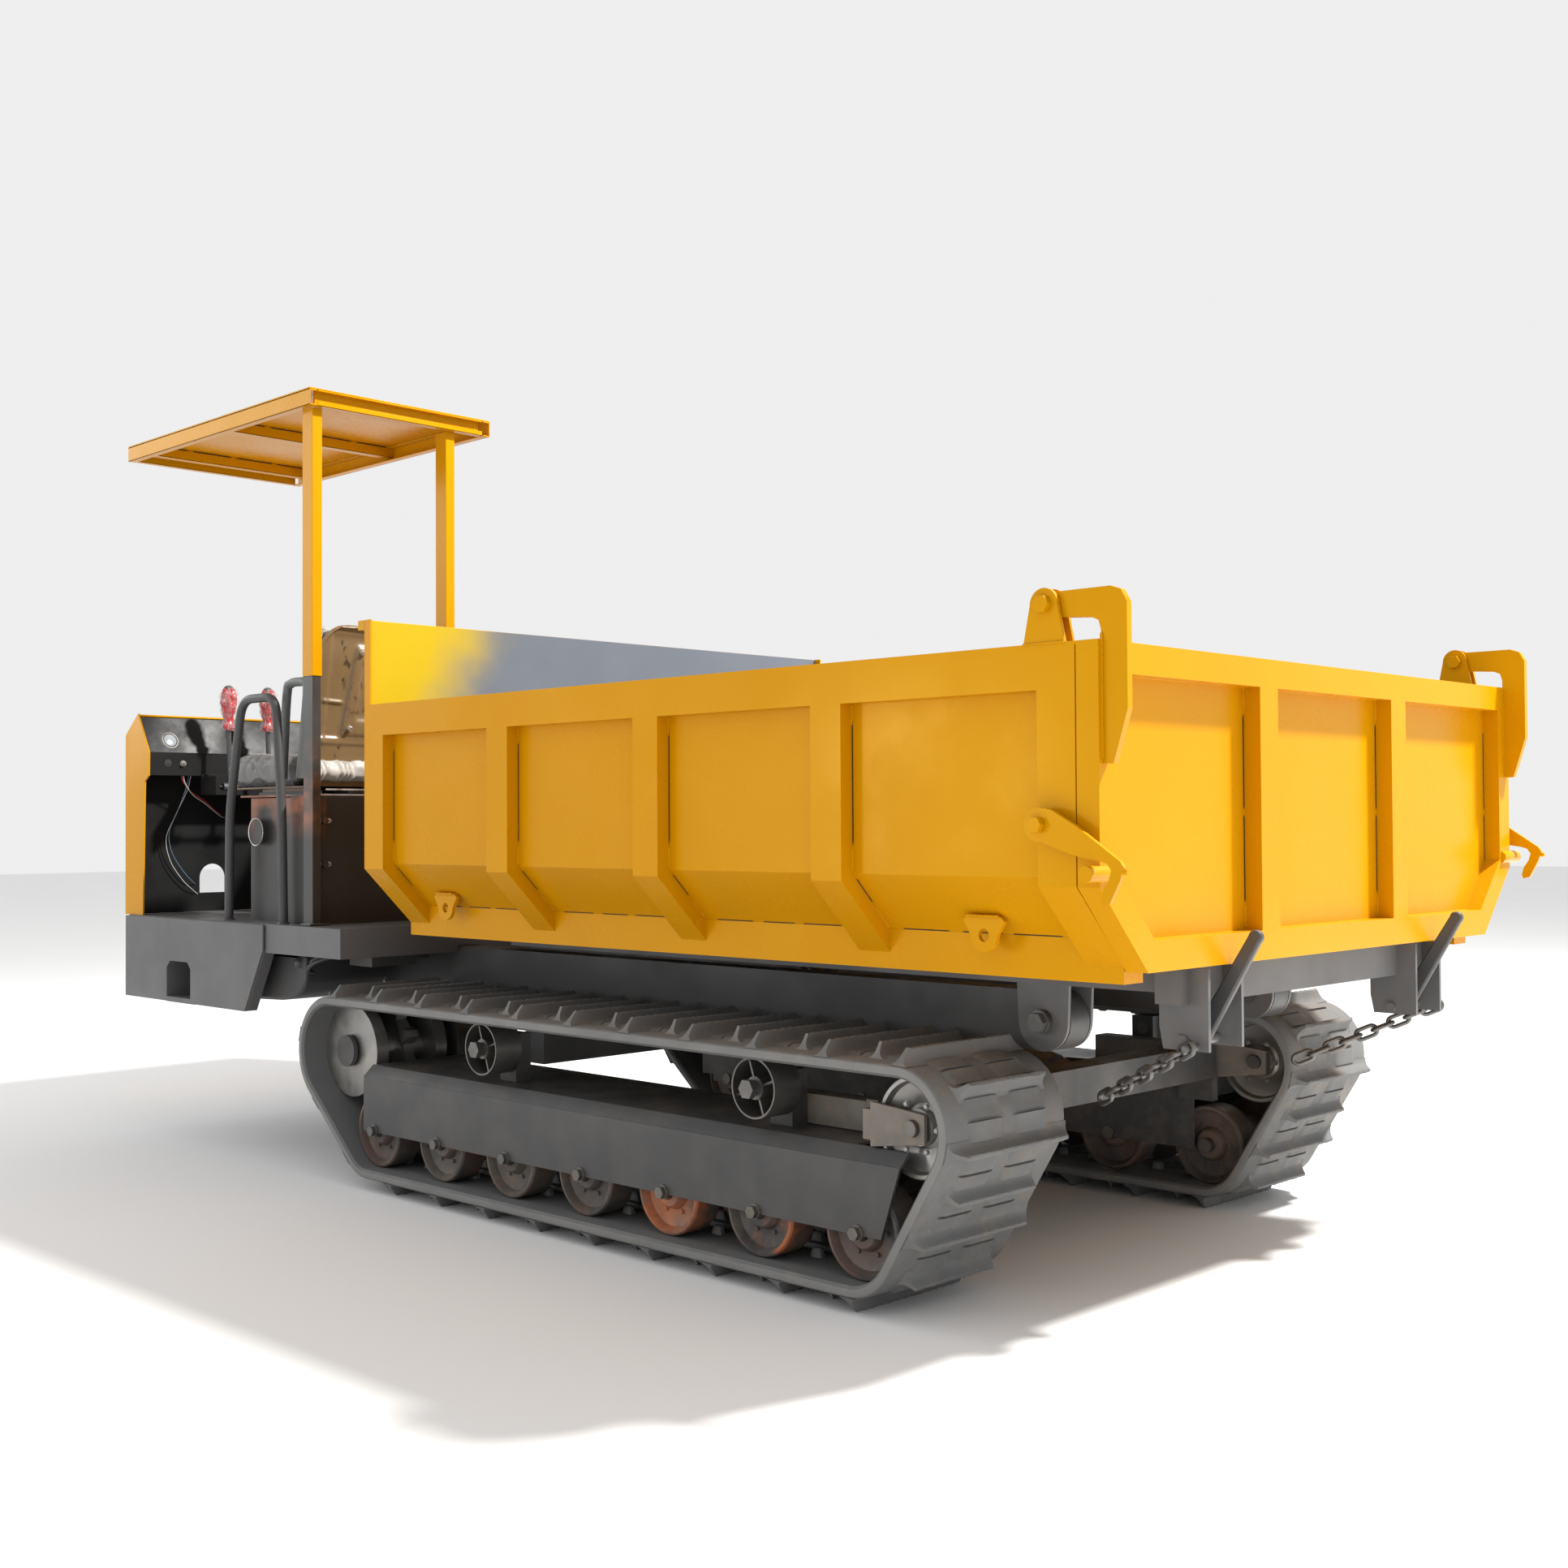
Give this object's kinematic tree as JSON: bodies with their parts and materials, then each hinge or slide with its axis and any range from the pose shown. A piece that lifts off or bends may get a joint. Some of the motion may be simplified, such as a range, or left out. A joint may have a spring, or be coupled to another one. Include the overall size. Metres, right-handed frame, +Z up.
{
  "type": "grain cart",
  "caption": "Self-propelled cart on two rubber belts, with a tipping dump box, a top-hinged tailgate with side latches, a seat under a canopy, levers and a hinged engine hood.",
  "frame": {"origin": "middle of the machine's plan, on the ground under the tread lugs", "axes": "+X forward, from the dump box to the operator's cowl; +Y to the operator's side (the machine's left); +Z up"},
  "size_m": [4.674, 2.204, 2.67],
  "materials": {
    "yellow_paint": "glossy warm yellow paint",
    "black_paint": "satin black paint, dusty",
    "belt_rubber": "matt black rubber, dusty",
    "wheel_iron": "dark cast iron, dusty",
    "roller_steel": "worn steel",
    "pin_iron": "dark steel pins",
    "engine_iron": "painted iron castings",
    "rod_chrome": "hard chrome",
    "seat_paint": "brown paint on pressed steel",
    "seat_cover": "padding under thin clear film"
  },
  "bodies": {
    "machine": {"left_track_belt": "belt_rubber", "right_track_belt": "belt_rubber", "track_frames": "black_paint", "track_covers": "black_paint", "idler_yokes": "pin_iron", "drive_motors": "black_paint", "axles_and_pins": "pin_iron", "chassis_frame": "black_paint", "deck": "black_paint", "step_skirts": "black_paint", "hydraulic_tank": "black_paint", "pump_block": "pin_iron", "engine": "engine_iron", "engine_bay": "black_paint", "cowl": "black_paint", "cowl_plates": "yellow_paint", "seat_box": "black_paint", "canopy": "yellow_paint", "canopy_posts": "yellow_paint", "grab_rail": "black_paint"},
    "left_sprocket": {"left_drive_sprocket": "wheel_iron"},
    "left_idler": {"left_idler_wheel": "roller_steel"},
    "left_roller_1": {"left_bottom_roller_1": "wheel_iron"},
    "left_roller_2": {"left_bottom_roller_2": "wheel_iron"},
    "left_roller_3": {"left_bottom_roller_3": "wheel_iron"},
    "left_roller_4": {"left_bottom_roller_4": "wheel_iron"},
    "left_roller_5": {"left_bottom_roller_5": "wheel_iron"},
    "left_roller_6": {"left_bottom_roller_6": "wheel_iron"},
    "left_roller_7": {"left_bottom_roller_7": "wheel_iron"},
    "left_carrier_1": {"left_carrier_roller_1": "roller_steel"},
    "left_carrier_2": {"left_carrier_roller_2": "roller_steel"},
    "right_sprocket": {"right_drive_sprocket": "wheel_iron"},
    "right_idler": {"right_idler_wheel": "roller_steel"},
    "right_roller_1": {"right_bottom_roller_1": "wheel_iron"},
    "right_roller_2": {"right_bottom_roller_2": "wheel_iron"},
    "right_roller_3": {"right_bottom_roller_3": "wheel_iron"},
    "right_roller_4": {"right_bottom_roller_4": "wheel_iron"},
    "right_roller_5": {"right_bottom_roller_5": "wheel_iron"},
    "right_roller_6": {"right_bottom_roller_6": "wheel_iron"},
    "right_roller_7": {"right_bottom_roller_7": "wheel_iron"},
    "right_carrier_1": {"right_carrier_roller_1": "roller_steel"},
    "right_carrier_2": {"right_carrier_roller_2": "roller_steel"},
    "hood": {"engine_hood": "yellow_paint"},
    "seat": {"seat_pan": "seat_paint", "seat_cushion": "seat_cover", "seat_back": "seat_cover"},
    "left_lever": {"left_control_lever": "black_paint"},
    "right_lever": {"right_control_lever": "black_paint"},
    "dump_body": {"dump_box": "yellow_paint", "box_ribs": "yellow_paint", "hinge_bolts": "yellow_paint", "box_subframe": "black_paint", "release_chains": "pin_iron"},
    "gate": {"tailgate": "yellow_paint"},
    "left_latch": {"left_latch_lever": "yellow_paint"},
    "left_prong": {"left_release_prong": "black_paint"},
    "right_latch": {"right_latch_lever": "yellow_paint"},
    "right_prong": {"right_release_prong": "black_paint"},
    "cylinder": {"cylinder_barrel": "black_paint"},
    "rod": {"cylinder_rod": "rod_chrome"}
  },
  "joints": [
    {"name": "left_sprocket_spin", "type": "hinge", "parent": "machine", "child": "left_sprocket", "pos_m": [0.83, 0.79, 0.425], "axis": [0, 1, 0], "continuous": true},
    {"name": "left_idler_spin", "type": "hinge", "parent": "machine", "child": "left_idler", "pos_m": [-1.65, 0.79, 0.455], "axis": [0, 1, 0], "continuous": true},
    {"name": "left_roller_1_spin", "type": "hinge", "parent": "machine", "child": "left_roller_1", "pos_m": [-1.495, 0.79, 0.19], "axis": [0, 1, 0], "continuous": true},
    {"name": "left_roller_2_spin", "type": "hinge", "parent": "machine", "child": "left_roller_2", "pos_m": [-1.145, 0.79, 0.19], "axis": [0, 1, 0], "continuous": true},
    {"name": "left_roller_3_spin", "type": "hinge", "parent": "machine", "child": "left_roller_3", "pos_m": [-0.795, 0.79, 0.19], "axis": [0, 1, 0], "continuous": true},
    {"name": "left_roller_4_spin", "type": "hinge", "parent": "machine", "child": "left_roller_4", "pos_m": [-0.445, 0.79, 0.19], "axis": [0, 1, 0], "continuous": true},
    {"name": "left_roller_5_spin", "type": "hinge", "parent": "machine", "child": "left_roller_5", "pos_m": [-0.095, 0.79, 0.19], "axis": [0, 1, 0], "continuous": true},
    {"name": "left_roller_6_spin", "type": "hinge", "parent": "machine", "child": "left_roller_6", "pos_m": [0.255, 0.79, 0.19], "axis": [0, 1, 0], "continuous": true},
    {"name": "left_roller_7_spin", "type": "hinge", "parent": "machine", "child": "left_roller_7", "pos_m": [0.605, 0.79, 0.19], "axis": [0, 1, 0], "continuous": true},
    {"name": "left_carrier_1_spin", "type": "hinge", "parent": "machine", "child": "left_carrier_1", "pos_m": [0.039, 0.79, 0.5], "axis": [0, 1, 0], "continuous": true},
    {"name": "left_carrier_2_spin", "type": "hinge", "parent": "machine", "child": "left_carrier_2", "pos_m": [-1.132, 0.79, 0.5], "axis": [0, 1, 0], "continuous": true},
    {"name": "right_sprocket_spin", "type": "hinge", "parent": "machine", "child": "right_sprocket", "pos_m": [0.83, -0.79, 0.425], "axis": [0, 1, 0], "continuous": true},
    {"name": "right_idler_spin", "type": "hinge", "parent": "machine", "child": "right_idler", "pos_m": [-1.65, -0.79, 0.455], "axis": [0, 1, 0], "continuous": true},
    {"name": "right_roller_1_spin", "type": "hinge", "parent": "machine", "child": "right_roller_1", "pos_m": [-1.495, -0.79, 0.19], "axis": [0, 1, 0], "continuous": true},
    {"name": "right_roller_2_spin", "type": "hinge", "parent": "machine", "child": "right_roller_2", "pos_m": [-1.145, -0.79, 0.19], "axis": [0, 1, 0], "continuous": true},
    {"name": "right_roller_3_spin", "type": "hinge", "parent": "machine", "child": "right_roller_3", "pos_m": [-0.795, -0.79, 0.19], "axis": [0, 1, 0], "continuous": true},
    {"name": "right_roller_4_spin", "type": "hinge", "parent": "machine", "child": "right_roller_4", "pos_m": [-0.445, -0.79, 0.19], "axis": [0, 1, 0], "continuous": true},
    {"name": "right_roller_5_spin", "type": "hinge", "parent": "machine", "child": "right_roller_5", "pos_m": [-0.095, -0.79, 0.19], "axis": [0, 1, 0], "continuous": true},
    {"name": "right_roller_6_spin", "type": "hinge", "parent": "machine", "child": "right_roller_6", "pos_m": [0.255, -0.79, 0.19], "axis": [0, 1, 0], "continuous": true},
    {"name": "right_roller_7_spin", "type": "hinge", "parent": "machine", "child": "right_roller_7", "pos_m": [0.605, -0.79, 0.19], "axis": [0, 1, 0], "continuous": true},
    {"name": "right_carrier_1_spin", "type": "hinge", "parent": "machine", "child": "right_carrier_1", "pos_m": [0.039, -0.79, 0.5], "axis": [0, 1, 0], "continuous": true},
    {"name": "right_carrier_2_spin", "type": "hinge", "parent": "machine", "child": "right_carrier_2", "pos_m": [-1.132, -0.79, 0.5], "axis": [0, 1, 0], "continuous": true},
    {"name": "hood_open", "type": "hinge", "parent": "machine", "child": "hood", "pos_m": [0, 0.196, 1.561], "axis": [-1, 0, 0], "range_deg": [0, 60]},
    {"name": "seat_slide", "type": "slide", "parent": "machine", "child": "seat", "axis": [1, 0, 0], "range_m": [-0.05, 0.05]},
    {"name": "left_lever_tilt", "type": "hinge", "parent": "machine", "child": "left_lever", "pos_m": [2.075, 0.7, 1.33], "axis": [0, 1, 0], "range_deg": [-15, 15]},
    {"name": "right_lever_tilt", "type": "hinge", "parent": "machine", "child": "right_lever", "pos_m": [2.075, 0.53, 1.33], "axis": [0, 1, 0], "range_deg": [-15, 15]},
    {"name": "dump_tilt", "type": "hinge", "parent": "machine", "child": "dump_body", "pos_m": [-1.735, 0, 0.68], "axis": [0, -1, 0], "range_deg": [0, 45]},
    {"name": "tailgate_swing", "type": "hinge", "parent": "dump_body", "child": "gate", "pos_m": [-2.108, 0, 1.646], "axis": [0, 1, 0], "range_deg": [0, 40]},
    {"name": "left_latch_turn", "type": "hinge", "parent": "dump_body", "child": "left_latch", "pos_m": [-2.115, 1.0795, 1.171], "axis": [0, 1, 0], "range_deg": [0, 160]},
    {"name": "left_prong_drop", "type": "hinge", "parent": "dump_body", "child": "left_prong", "pos_m": [-2.167, 0.53, 0.668], "axis": [0, -1, 0], "range_deg": [0, 120]},
    {"name": "right_latch_turn", "type": "hinge", "parent": "dump_body", "child": "right_latch", "pos_m": [-2.115, -1.0795, 1.171], "axis": [0, 1, 0], "range_deg": [0, 160]},
    {"name": "right_prong_drop", "type": "hinge", "parent": "dump_body", "child": "right_prong", "pos_m": [-2.167, -0.53, 0.668], "axis": [0, -1, 0], "range_deg": [0, 120]},
    {"name": "cylinder_lean", "type": "hinge", "parent": "machine", "child": "cylinder", "pos_m": [-1.365, 0, 0.46], "axis": [0, -1, 0], "range_deg": [0, 50.8]},
    {"name": "rod_slide", "type": "slide", "parent": "cylinder", "child": "rod", "axis": [0.9678, 0, 0.2516], "range_m": [0, 0.3128]}
  ],
  "couplings": [
    {"joint": "left_idler_spin", "follows": "left_sprocket_spin", "ratio": 1.24},
    {"joint": "left_roller_1_spin", "follows": "left_sprocket_spin", "ratio": 1.2917},
    {"joint": "left_roller_2_spin", "follows": "left_sprocket_spin", "ratio": 1.2917},
    {"joint": "left_roller_3_spin", "follows": "left_sprocket_spin", "ratio": 1.2917},
    {"joint": "left_roller_4_spin", "follows": "left_sprocket_spin", "ratio": 1.2917},
    {"joint": "left_roller_5_spin", "follows": "left_sprocket_spin", "ratio": 1.2917},
    {"joint": "left_roller_6_spin", "follows": "left_sprocket_spin", "ratio": 1.2917},
    {"joint": "left_roller_7_spin", "follows": "left_sprocket_spin", "ratio": 1.2917},
    {"joint": "left_carrier_1_spin", "follows": "left_sprocket_spin", "ratio": 1.9375},
    {"joint": "left_carrier_2_spin", "follows": "left_sprocket_spin", "ratio": 1.9375},
    {"joint": "right_idler_spin", "follows": "right_sprocket_spin", "ratio": 1.24},
    {"joint": "right_roller_1_spin", "follows": "right_sprocket_spin", "ratio": 1.2917},
    {"joint": "right_roller_2_spin", "follows": "right_sprocket_spin", "ratio": 1.2917},
    {"joint": "right_roller_3_spin", "follows": "right_sprocket_spin", "ratio": 1.2917},
    {"joint": "right_roller_4_spin", "follows": "right_sprocket_spin", "ratio": 1.2917},
    {"joint": "right_roller_5_spin", "follows": "right_sprocket_spin", "ratio": 1.2917},
    {"joint": "right_roller_6_spin", "follows": "right_sprocket_spin", "ratio": 1.2917},
    {"joint": "right_roller_7_spin", "follows": "right_sprocket_spin", "ratio": 1.2917},
    {"joint": "right_carrier_1_spin", "follows": "right_sprocket_spin", "ratio": 1.9375},
    {"joint": "right_carrier_2_spin", "follows": "right_sprocket_spin", "ratio": 1.9375},
    {"joint": "left_latch_turn", "follows": "tailgate_swing", "ratio": 4},
    {"joint": "left_prong_drop", "follows": "tailgate_swing", "ratio": 3},
    {"joint": "right_latch_turn", "follows": "tailgate_swing", "ratio": 4},
    {"joint": "right_prong_drop", "follows": "tailgate_swing", "ratio": 3},
    {"joint": "cylinder_lean", "follows": "dump_tilt", "ratio": 1.118},
    {"joint": "rod_slide", "follows": "dump_tilt", "m_per_rad": 0.39577}
  ]
}
